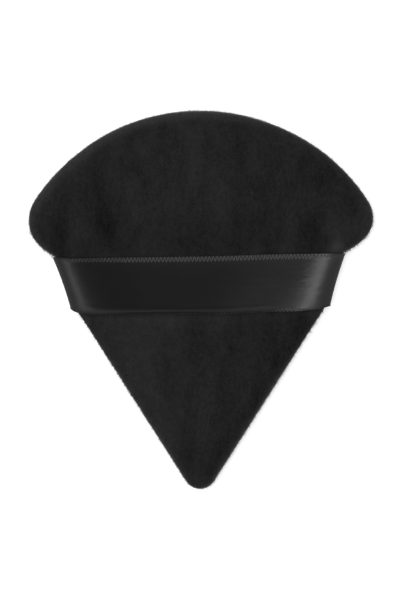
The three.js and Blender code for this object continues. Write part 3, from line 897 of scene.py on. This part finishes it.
def pile_pattern():
    """Scatters leaning tufts over the outside of a cover and keeps them above the table."""
    lengths = dict.fromkeys(("Density", "Length", "Width", "Lean", "Ruffle", "Floor"), "Float")
    pattern = Pattern("pile", lengths | {"Seed": "Int", "Material": "Material"})
    seed, density = pattern.given("Seed"), pattern.given("Density")
    outside = pattern.attribute("outside", "BOOLEAN")
    scatter = pattern.node(
        "GeometryNodeDistributePointsOnFaces",
        {"distribute_method": "RANDOM"},
        {"Mesh": pattern.given("Geometry"), "Selection": outside, "Density": density, "Seed": seed},
        "Points",
    )
    normal = Value(pattern, find(scatter.socket.node.outputs, "Normal"))
    stray = pattern.node(
        "FunctionNodeRandomValue",
        {"data_type": "FLOAT_VECTOR"},
        {"Min": (-1.0, -1.0, -1.0), "Max": (1.0, 1.0, 1.0), "Seed": seed},
        "Value",
    )
    leaning = pattern.vector("SCALE", {"Vector": (0.0, -1.0, 0.0), "Scale": pattern.given("Lean")})
    ruffled = pattern.vector("SCALE", {"Vector": stray, "Scale": pattern.given("Ruffle")})
    way = pattern.vector("ADD", {0: pattern.vector("ADD", {0: normal, 1: leaning}), 1: ruffled})
    turned = pattern.node("FunctionNodeAlignRotationToVector", {"axis": "Z"}, {"Vector": way}, "Rotation")
    foot, length = pattern.given("Width") * 0.5, pattern.given("Length")
    tuft = pattern.node(
        "GeometryNodeMeshCone",
        {"fill_type": "NGON"},
        {"Vertices": 3, "Radius Top": 0.0, "Radius Bottom": foot, "Depth": length},
        "Mesh",
    )
    chance = pattern.node(
        "FunctionNodeRandomValue", {"data_type": "FLOAT"}, {"Min": 0.0, "Max": 1.0, "Seed": seed + 1}, "Value"
    )
    tall = SHORT_TUFT + TUFT_SPREAD * chance + LONG_TUFT * chance**LONG_RARITY
    sockets = {"Points": scatter, "Instance": tuft, "Rotation": turned, "Scale": tall}
    tufts = pattern.node("GeometryNodeInstanceOnPoints", {}, sockets, "Instances")
    plain = pattern.node("GeometryNodeRealizeInstances", {}, {"Geometry": tufts})
    floor = pattern.node("ShaderNodeCombineXYZ", {}, {"X": -1.0, "Y": -1.0, "Z": pattern.given("Floor")})
    above = pattern.vector("MAXIMUM", {0: pattern.node("GeometryNodeInputPosition"), 1: floor})
    return pattern.close(pattern.node("GeometryNodeSetPosition", {}, {"Geometry": plain, "Position": above}))


def stitch_pattern():
    """Runs a thread along strands, stepping across at every other point."""
    lengths = dict.fromkeys(("Pitch", "Step", "Lift", "Radius"), "Float")
    pattern = Pattern("stitches", lengths | {"Sides": "Int", "Material": "Material"})
    strands = pattern.node("GeometryNodeMeshToCurve", {}, {"Mesh": pattern.given("Geometry")})
    length = pattern.node("GeometryNodeSplineLength", output="Length")
    turns = length.step("DIVIDE", length, pattern.given("Pitch"))
    whole = pattern.node("ShaderNodeMath", {"operation": "ROUND"}, {0: turns})
    sockets = {"Curve": strands, "Count": whole * 2 + 1}
    points = pattern.node("GeometryNodeResampleCurve", {"mode": "COUNT"}, sockets)
    number_of = pattern.node("GeometryNodeSplineParameter", output="Index")
    reach = number_of.step("FLOORED_MODULO", number_of, 2.0) * pattern.given("Step")
    step = pattern.vector("SCALE", {"Vector": pattern.attribute("across"), "Scale": reach})
    lift = pattern.vector("SCALE", {"Vector": pattern.attribute("out"), "Scale": pattern.given("Lift")})
    offset = pattern.vector("ADD", {0: step, 1: lift})
    stepped = pattern.node("GeometryNodeSetPosition", {}, {"Geometry": points, "Offset": offset})
    curved = pattern.node("GeometryNodeCurveSplineType", {"spline_type": "CATMULL_ROM"}, {"Curve": stepped})
    fine = pattern.node("GeometryNodeSetSplineResolution", {}, {"Geometry": curved, "Resolution": 3})
    sockets = {"Resolution": pattern.given("Sides"), "Radius": pattern.given("Radius")}
    section = pattern.node("GeometryNodeCurvePrimitiveCircle", {"mode": "RADIUS"}, sockets, "Curve")
    sockets = {"Curve": fine, "Profile Curve": section, "Fill Caps": True}
    return pattern.close(pattern.node("GeometryNodeCurveToMesh", {}, sockets))


def stitch(pitch, step, diameter, finish, lift=0.0, sides=8):
    """What the stitch pattern takes."""
    lengths = {"Pitch": pitch, "Step": step, "Lift": lift, "Radius": diameter / 2}
    return lengths | {"Sides": sides, "Material": finish}


def strand_mesh(name, strands):
    """Loose edges along strands of points, with the way across and the way out kept on each point."""
    points = np.concatenate([s[0] for s in strands])
    edges, start = [], 0
    for line, _, _ in strands:
        edges += [(start + k, start + k + 1) for k in range(len(line) - 1)]
        start += len(line)
    mesh = bpy.data.meshes.new(name)
    mesh.from_pydata(points.tolist(), edges, [])
    for key, part in (("across", 1), ("out", 2)):
        ways = [np.broadcast_to(np.asarray(strand[part], float), strand[0].shape) for strand in strands]
        store(mesh, key, "FLOAT_VECTOR", "POINT", np.concatenate(ways))
    return mesh


def softened(grid, times):
    """A grid of numbers evened out inside its edges, as a thick pile evens out fine wrinkles."""
    for _ in range(times):
        for axis in (0, 1):
            even = (np.roll(grid, 1, axis) + 2 * grid + np.roll(grid, -1, axis)) / 4
            grid = grid.copy()
            grid[1:-1, 1:-1] = even[1:-1, 1:-1]
    return grid


def settled(settings, count=72, frames=22):
    """How far cloth over the foam moves out or in when the ribbon draws the rim in: a grid for each face."""
    inset = settings.pile.inset
    slack, drawn = PuffShape(settings, 0.0, inset), PuffShape(settings, 1.0, inset)
    ends = [[face_grid(shape, face, count) for face in (shape.front, shape.back)] for shape in (slack, drawn)]
    half = count * count
    start = np.concatenate([points.reshape(-1, 3) for points, _ in ends[0]])
    finish = np.concatenate([points.reshape(-1, 3) for points, _ in ends[1]])
    normal = np.concatenate([out.reshape(-1, 3) for _, out in ends[1]])
    rough = np.random.default_rng(WRINKLE_SEED).normal(0, WRINKLE, len(start))
    held = np.concatenate((edge_loop(count, count), edge_loop(count, count, half)))
    rough[held] = 0
    loose = (start + normal * rough[:, None]) * CLOTH_SCALE
    pad = placed("pad", mesh_of("pad", loose, pillow_faces(count, count)))
    pins = pad.vertex_groups.new(name="rim")
    pins.add(held.tolist(), 1.0, "REPLACE")
    pad.shape_key_add(name="slack")
    key = pad.shape_key_add(name="drawn")
    key.data.foreach_set("co", (finish * CLOTH_SCALE).ravel())
    for moment, value in ((1, 0.0), (DRAWN_BY_FRAME, 1.0)):
        key.value = value
        key.keyframe_insert("value", frame=moment)
    cloth = pad.modifiers.new("velour", "CLOTH")
    for name, value in CLOTH.items():
        setattr(cloth.settings, name, value)
    cloth.settings.effector_weights.gravity = 0
    cloth.collision_settings.use_collision = False
    cloth.point_cache.frame_start, cloth.point_cache.frame_end = 1, frames
    scene = bpy.context.scene
    for moment in range(1, frames + 1):
        scene.frame_set(moment)
    result = pad.evaluated_get(bpy.context.evaluated_depsgraph_get()).data
    moved = np.empty(len(start) * 3)
    result.vertices.foreach_get("co", moved)
    scene.frame_set(1)
    mesh = pad.data
    action = mesh.shape_keys.animation_data.action
    bpy.data.objects.remove(pad)
    bpy.data.meshes.remove(mesh)
    bpy.data.actions.remove(action)
    swell = ((moved.reshape(-1, 3) / CLOTH_SCALE - finish) * normal).sum(-1)
    grids = []
    for part in (swell[:half], swell[half:]):
        grid = softened(part.reshape(count, count), EVENINGS)
        grids.append(SWELL_LIMIT * np.tanh((grid - np.median(grid)) / SWELL_LIMIT))
    return grids


def cover_mesh(name, shape, face, swell, count=150):
    """One velour cover as a closed shell: its crowned face, its edge rolled into the seam, and its lining."""
    puff = shape.puff
    skin, _ = face_grid(shape, face, count, 1.0, swell)
    lining, normal = face_grid(shape, face, count, LINING_SHARE, swell)
    lining = lining - normal * puff.cover_thickness
    loop = edge_loop(count, count)
    rim = skin.reshape(-1, 3)[loop]
    along = np.roll(rim, -1, 0) - np.roll(rim, 1, 0)
    inward = unit(np.stack((-along[:, 1], along[:, 0]), -1))
    gap = shape.seam_half_gap(rim[:, 0], rim[:, 1])
    rings = []
    for turn in np.linspace(0, math.pi / 2, ROLL_STEPS)[1:]:
        flat = rim[:, :2] + inward * puff.groove_depth * (1 - math.cos(turn))
        rise = gap + (puff.edge_roll - gap) * (1 - math.sin(turn))
        rings.append(np.column_stack((flat, puff.seam_height + face.up * rise)))
    allowance = shape.core + (rim[:, :2] - shape.core) * ALLOWANCE_SHARE
    rings.append(np.column_stack((allowance, puff.seam_height + face.up * gap)))
    floor = puff.seam_gap / 2 + puff.cover_thickness
    rise = np.maximum(face.up * (lining[..., 2] - puff.seam_height), floor)
    lining[..., 2] = puff.seam_height + face.up * rise
    half = count * count
    loops = [loop] + [half + k * len(loop) + np.arange(len(loop)) for k in range(len(rings))]
    inner = half + len(rings) * len(loop)
    loops.append(edge_loop(count, count, inner))
    faces = [grid_faces(count, count)]
    faces += [bridge(a, b) for a, b in zip(loops, loops[1:])]
    faces.append(turned_over(grid_faces(count, count, inner)))
    outside = np.zeros(sum(map(len, faces)), bool)
    outside[: len(faces[0]) + BRUSHED_ROLLS * len(loop)] = True
    faces = np.concatenate(faces)
    points = np.concatenate((skin.reshape(-1, 3), *rings, lining.reshape(-1, 3)))
    mesh = mesh_of(name, points, faces if face.up > 0 else turned_over(faces))
    store(mesh, "outside", "BOOLEAN", "FACE", outside)
    store(mesh, "nap", "FLOAT", "POINT", tone_and_painted_light_of(shape, face, points))
    return mesh


def tone_and_painted_light_of(shape, face, points):
    """Painted light and shade of the front's pile, and its tone: lighter on the lower left, darker on the
    right and towards the tip.
    """
    if face.up < 0:
        return np.zeros(len(points))
    x, y = points[:, 0], points[:, 1]
    edge = shape.ribbon.width / 2
    across = x / np.clip(shape.side_x(y, 1), 4 * MM, 36 * MM)
    lower = 1 - smooth(y, *LOWER_PART)
    sides = 1.1 * lower * smooth(-across, 0, 1) - (0.8 + 0.3 * lower) * smooth(across, 0, 1)
    # Painted sheen: a band round the rim is made lighter, most of all towards the upper left.
    turn = np.arctan2(y - shape.core[1], x - shape.core[0])
    outward = np.hypot(x, y - shape.core[1]) / shape.around(turn, shape.rim_reach)
    rim = smooth(outward, RIM_START, 1) * (0.9 + 3.2 * smooth(np.cos(turn - PAINTED_SHEEN_TURN), 0.3, 0.85))
    # Painted light that fills the shade the ribbon casts on the pile beside it, with painted strips along its
    # lower and upper edges.
    beside = np.maximum(np.abs(y - shape.ribbon_y(0, x)) - edge, 0)
    inside = 1 - np.clip(np.abs(across), 0, 1) ** 4
    painted_brightening = (0.5 + 0.4 * lower) * np.exp(-beside / PAINTED_FILL_REACH) * inside
    (below, painted_fill_below), (above, painted_fill_above) = LOWER_FILL_STRIP, UPPER_FILL_STRIP
    strip = painted_fill_below * np.exp(-np.abs(shape.ribbon_y(-edge, x) - y) / below)
    painted_brightening = painted_brightening + strip * smooth(-x, *STRIP_END)
    painted_brightening = painted_brightening + painted_fill_above * np.exp(-np.abs(y - shape.ribbon_y(edge, x)) / above)
    # Painted highlights on small patches near the ribbon's right end.
    for at_x, at_y, half_width, half_height, lighter in PAINTED_HIGHLIGHTS:
        painted_brightening = painted_brightening + lighter * hump(x, at_x, half_width) * hump(y, at_y, half_height)
    tip = smooth(-y, *TIP_PART)
    # The folds' heights paint shade into their hollows and highlights onto their ridges. The tip is also made
    # darker.
    return shape.folds(x, y) / MM + sides + rim + painted_brightening - 0.45 * tip


def ribbon_mesh(name, points, normal, run, thickness):
    """A closed strip of satin with square edges, and a map of the distance along and across it."""
    rows, columns = points.shape[:2]
    both = np.concatenate([(points + normal * way * thickness / 2).reshape(-1, 3) for way in (1, -1)])
    mesh = mesh_of(name, both, pillow_faces(rows, columns))
    across = np.linspace(0, 1, columns)
    flat = np.stack(np.meshgrid(run, across, indexing="ij"), -1).reshape(-1, 2)
    corners = np.empty(len(mesh.loops), np.int32)
    mesh.loops.foreach_get("vertex_index", corners)
    mesh.uv_layers.new(name="weave").data.foreach_set("uv", np.tile(flat, (2, 1))[corners].ravel())
    ends = np.empty(len(mesh.edges) * 2, np.int32)
    mesh.edges.foreach_get("vertices", ends)
    loops = edge_loop(rows, columns), edge_loop(rows, columns, rows * columns)
    pairs = {frozenset(p) for loop in loops for p in zip(loop.tolist(), np.roll(loop, -1).tolist())}
    sharp = [frozenset(p) in pairs for p in ends.reshape(-1, 2).tolist()]
    store(mesh, "sharp_edge", "BOOLEAN", "EDGE", sharp)
    return mesh


def settings_of(context):
    return context.scene.powder_puff


def carry(piece, side, shape):
    """The free stretch rides the strap. An end stays in the seam."""
    if side == 0:
        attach(piece, "strap")
        return
    ribbon = shape.ribbon
    held = side * (shape.side_x(ribbon.middle, side) - HELD_MARGIN)
    free = side * (ribbon.cut + FREE_MARGIN)
    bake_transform(piece)


class PUFF_OT_covers(bpy.types.Operator):
    """Make the two velour covers, drawn in by the ribbon"""

    bl_idname = "puff.covers"
    bl_label = "Velour covers"

    def execute(self, context):
        settings = settings_of(context)
        shape = PuffShape(settings, 1.0, settings.pile.inset)
        velour = velour_finish(settings.colours)
        swells = settled(settings)
        for name, face, swell, node in (
            ("front_velour", shape.front, swells[0], "front_cover"),
            ("back_velour", shape.back, swells[1], "back_cover"),
        ):
            cover = placed(name, cover_mesh(name, shape, face, swell))
            cover.data.materials.append(velour)
            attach(cover, "puff")
            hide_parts(node)
        return {"FINISHED"}


class PUFF_OT_pile(bpy.types.Operator):
    """Grow the velour's standing fibres on both covers"""

    bl_idname = "puff.pile"
    bl_label = "Velour pile"

    def execute(self, context):
        settings = settings_of(context)
        pile = settings.pile
        pattern = pile_pattern()
        values = {"Floor": PILE_FLOOR, "Material": pile_finish(settings.colours)}
        for key in ("density", "length", "width", "lean", "ruffle", "seed"):
            values[key.capitalize()] = getattr(pile, key)
        for name, cover in (("front_pile", "front_velour"), ("back_pile", "back_velour")):
            tufts = pattern.grow(name, bpy.data.objects[cover].data.copy(), values)
            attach(tufts, "puff")
        return {"FINISHED"}


class PUFF_OT_foam(bpy.types.Operator):
    """Make the foam core inside the covers"""

    bl_idname = "puff.foam"
    bl_label = "Foam core"

    def execute(self, context):
        settings = settings_of(context)
        shape = PuffShape(settings)
        puff = settings.puff
        count = FOAM_COUNT
        depth = puff.cover_thickness + puff.foam_room
        sides = []
        for face in (shape.front, shape.back):
            points, normal = face_grid(shape, face, count, ALLOWANCE_SHARE)
            sides.append((points - normal * depth).reshape(-1, 3))
        foam = placed("foam_pad", mesh_of("foam_pad", np.concatenate(sides), pillow_faces(count, count)))
        foam.data.materials.append(foam_finish(settings.colours))
        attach(foam, "puff")
        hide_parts("foam_core")
        return {"FINISHED"}


class PUFF_OT_ribbon(bpy.types.Operator):
    """Make the satin ribbon: its free stretch and the two ends that go into the seams"""

    bl_idname = "puff.ribbon"
    bl_label = "Satin ribbon"

    def execute(self, context):
        settings = settings_of(context)
        ribbon = settings.ribbon
        shape = PuffShape(settings)
        satin = satin_finish(settings.colours)
        points, normal, left, right = shape.ribbon_grid()
        middle = points[:, points.shape[1] // 2]
        run = np.concatenate(((0,), np.cumsum(np.linalg.norm(np.diff(middle, axis=0), axis=-1))))
        for name, rows, node, side in (
            ("left_satin_end", slice(0, left + 1), "ribbon_left_end", -1),
            ("satin_band", slice(left, right + 1), "ribbon_band", 0),
            ("right_satin_end", slice(right, len(points)), "ribbon_right_end", 1),
        ):
            mesh = ribbon_mesh(name, points[rows], normal[rows], run[rows] / ribbon.width, ribbon.thickness)
            strip = placed(name, mesh)
            strip.data.materials.append(satin)
            carry(strip, side, shape)
            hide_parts(node)
        return {"FINISHED"}


class PUFF_OT_selvedge(bpy.types.Operator):
    bl_idname = "puff.selvedge"
    bl_label = "Ribbon selvedge"

    def execute(self, context):
        settings = settings_of(context)
        ribbon, thread = settings.ribbon, settings.thread
        shape = PuffShape(settings)
        points, normal, left, right = shape.ribbon_grid()
        run = np.linalg.norm(np.diff(points[:, points.shape[1] // 2], axis=0), axis=-1)
        pattern = stitch_pattern()
        yarn = thread_finish("selvedge_yarn", settings.colours.selvedge, 0.3)
        diameter = thread.selvedge_diameter
        lift = ribbon.thickness / 2 + 0.3 * diameter
        looped = stitch(thread.selvedge_pitch, thread.selvedge_depth, diameter, yarn, lift, 6)
        for name, strip, first, last, side in (
            ("left_selvedge", "left_satin_end", SELVEDGE_START, left, -1),
            ("band_selvedge", "satin_band", left, right, 0),
            ("right_selvedge", "right_satin_end", right, len(points) - 1 - SELVEDGE_START, 1),
        ):
            rows = slice(first, last + 1)
            strands = []
            for edge, inner in ((0, 1), (-1, -2)):
                line = points[rows, edge]
                # Loops reach less far where the ribbon runs low into the seam and along its turned-under
                # lower edge, and the yarn's finish paints them darker by the same measure.
                shown = smooth(line[:, 2] - settings.puff.seam_height, *SELVEDGE_RISE)
                if edge == 0:
                    shown = shown * (0.25 + 0.75 * hump(line[:, 0], *FLAT_EDGE))
                else:
                    shown = shown * (0.8 + 0.2 * smooth(line[:, 0], *SELVEDGE_EASE))
                strands.append((line, unit(points[rows, inner] - line) * shown[:, None], normal[rows, edge]))
            loops = pattern.grow(name, strand_mesh(name, strands), looped)
            carry(loops, side, shape)
            whole = {-1: slice(0, left), 0: slice(left, right), 1: slice(right, len(run))}[side]
        return {"FINISHED"}


class PUFF_OT_seam(bpy.types.Operator):
    """Sew the seam round the rim with a needle thread and a bobbin thread"""

    bl_idname = "puff.seam"
    bl_label = "Seam threads"

    def execute(self, context):
        settings = settings_of(context)
        puff, thread = settings.puff, settings.thread
        shape = PuffShape(settings)
        finish = thread_finish("sewing_thread", settings.colours.thread, 0.5)
        pattern = stitch_pattern()
        low, high = (thread.gap_middle + way * thread.gap_length / 2 for way in (-1, 1))
        turns = [math.atan2(y - shape.core[1], shape.side_x(y, 1) - shape.core[0]) for y in (high, low)]
        turn = np.linspace(turns[0], turns[1] + 2 * math.pi, SEAM_POINTS)
        x, y = shape.at(1 - thread.seam_inset / shape.around(turn, shape.rim_reach), turn)
        height = shape.seam_half_gap(x, y) + puff.cover_thickness + thread.seam_diameter
        inward = np.stack((-np.cos(turn), -np.sin(turn), np.zeros_like(turn)), -1)
        values = stitch(2 * thread.seam_stitch, SEAM_STEP, thread.seam_diameter, finish)
        for name, up, node in (
            ("needle_stitches", 1, "seam_needle_thread"),
            ("bobbin_stitches", -1, "seam_bobbin_thread"),
        ):
            line = np.stack((x, y, puff.seam_height + up * height), -1)
            sewn = pattern.grow(name, strand_mesh(name, [(line, inward, (0, 0, up))]), values)
            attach(sewn, "puff")
            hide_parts(node)
        return {"FINISHED"}


class PUFF_OT_closing(bpy.types.Operator):
    """Close the turning gap by hand and tack the ribbon's ends in the seams"""

    bl_idname = "puff.closing"
    bl_label = "Closing stitches and tacks"

    def execute(self, context):
        settings = settings_of(context)
        puff, ribbon, thread = settings.puff, settings.ribbon, settings.thread
        shape = PuffShape(settings)
        finish = thread_finish("hand_thread", settings.colours.thread, 0.45)
        pattern = stitch_pattern()
        y = thread.gap_middle + thread.gap_length * np.linspace(-0.5, 0.5, GAP_POINTS)
        level = np.full(len(y), puff.seam_height - thread.closing_reach)
        line = np.stack((shape.side_x(y, 1) - CLOSING_INSET, y, level), -1)
        half = puff.tip_angle / 2
        out = (math.cos(half), -math.sin(half), 0)
        values = stitch(thread.closing_pitch, 2 * thread.closing_reach, thread.closing_diameter, finish)
        sewn = [("closing_stitches", line, (0, 0, 1), out, values, "closing_thread")]
        low = puff.seam_height - puff.cover_thickness - TACK_DROP
        values = stitch(thread.tack_pitch, thread.tack_width, thread.seam_diameter, finish)
        for name, side, node in (("left_tack", -1, "left_bar_tack"), ("right_tack", 1, "right_bar_tack")):
            y = np.linspace(-0.5, 0.5, TACK_POINTS) * (ribbon.width - 2 * thread.tack_margin)
            y = ribbon.middle + y + side * ribbon.skew / 2
            x = side * (shape.side_x(y, side) - thread.tack_inset)
            line = np.stack((x, y, np.full(len(y), low)), -1)
            sewn.append((name, line, (-side, 0, 0), (0, 0, -1), values, node))
        for name, line, across, out, values, node in sewn:
            stitches = pattern.grow(name, strand_mesh(name, [(line, across, out)]), values)
            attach(stitches, "puff")
            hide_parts(node)
        return {"FINISHED"}


class PUFF_OT_stage(bpy.types.Operator):
    """Set up the table, the soft lights and the camera that looks straight down"""

    bl_idname = "puff.stage"
    bl_label = "Table, lights and camera"

    def execute(self, context):
        settings = settings_of(context)
        studio, scene = settings.studio, context.scene
        scene.view_settings.view_transform = "Standard"
        view = bpy.data.cameras.new("camera")
        view.lens = view.sensor_width * studio.distance / studio.view_height
        camera = placed("camera", view)
        camera.location = (*CAMERA_SHIFT, settings.puff.seam_height + studio.distance)
        scene.camera = camera
        self.lay_table(settings)
        self.light_room(scene)
        for name, (way, distance, wide, tall) in SOFTBOXES.items():
            glow = getattr(studio, name + "_glow")
            box = self.softbox(name + "_softbox", way, distance, wide, tall, glow)
            box.visible_glossy = name != "fill"
        return {"FINISHED"}

    @staticmethod
    def lay_table(settings):
        ring = arc((0, 0), TABLE_RADIUS, 0, 2 * math.pi, TABLE_CORNERS + 1)[:-1]
        edge = np.column_stack((ring, np.full(TABLE_CORNERS, -TABLE_DROP)))
        floor = placed("table", mesh_of("table", edge, [range(TABLE_CORNERS)]))
        finish = Finish("table")
        shade = finish.noise(finish.place(), 3, 2)
        tint, glow = finish.tinted(settings.colours.floor, 0.98 + 0.04 * shade), settings.studio.floor_glow
        plain = finish.close(tint, 0.9, 0.1, emission_color=(1, 1, 1, 1), emission_strength=glow)
        floor.data.materials.append(plain)
        floor.visible_glossy = floor.visible_diffuse = False

    @staticmethod
    def light_room(scene):
        scene.world = bpy.data.worlds.new("room")
        scene.world.use_nodes = True
        room = Graph(scene.world.node_tree)
        way = room.node("ShaderNodeTexCoord", output="Generated")
        parts = room.node("ShaderNodeSeparateXYZ", {}, {"Vector": way}).socket.node
        rise = Value(room, find(parts.outputs, "Z")) * 0.5 + 0.5
        glow = room.node("ShaderNodeValToRGB", {"stops": ROOM_STOPS}, {"Fac": rise}, "Color")
        background = room.node("ShaderNodeBackground", {}, {"Color": glow, "Strength": 1.0})
        room.node("ShaderNodeOutputWorld", {}, {"Surface": background})

    @staticmethod
    def softbox(name, way, distance, wide, tall, radiance):
        lamp = bpy.data.lights.new(name, "AREA")
        lamp.shape = "RECTANGLE"
        lamp.size, lamp.size_y = wide, tall
        lamp.energy = radiance * math.pi * wide * tall
        box = placed(name, lamp)
        box.location = Vector(way).normalized() * distance
        box.rotation_euler = box.location.to_track_quat("Z", "Y").to_euler()
        box.visible_camera = False
        return box


class PUFF_PT_panel(bpy.types.Panel):
    """Lists the steps that dress the powder puff"""

    bl_idname = "PUFF_PT_panel"
    bl_label = "Powder puff"
    bl_space_type = "VIEW_3D"
    bl_region_type = "UI"
    bl_category = "Powder puff"

    def draw(self, context):
        for step in STEPS:
            self.layout.operator(step.bl_idname)


STEPS = (
    PUFF_OT_stage,
    PUFF_OT_covers,
    PUFF_OT_pile,
    PUFF_OT_foam,
    PUFF_OT_ribbon,
    PUFF_OT_selvedge,
    PUFF_OT_seam,
    PUFF_OT_closing,
)
CLASSES = (
    PuffSizes,
    RibbonSizes,
    PileSizes,
    ThreadSizes,
    PuffColours,
    StudioSettings,
    PowderPuffSettings,
    *STEPS,
    PUFF_PT_panel,
)


def register():
    for kind in CLASSES:
        bpy.utils.register_class(kind)
    bpy.types.Scene.powder_puff = PointerProperty(type=PowderPuffSettings)


def unregister():
    del bpy.types.Scene.powder_puff
    for kind in reversed(CLASSES):
        bpy.utils.unregister_class(kind)


def main():
    register()
    for step in STEPS:
        group, name = step.bl_idname.split(".")
        getattr(getattr(bpy.ops, group), name)()


if __name__ == "__main__":
    main()
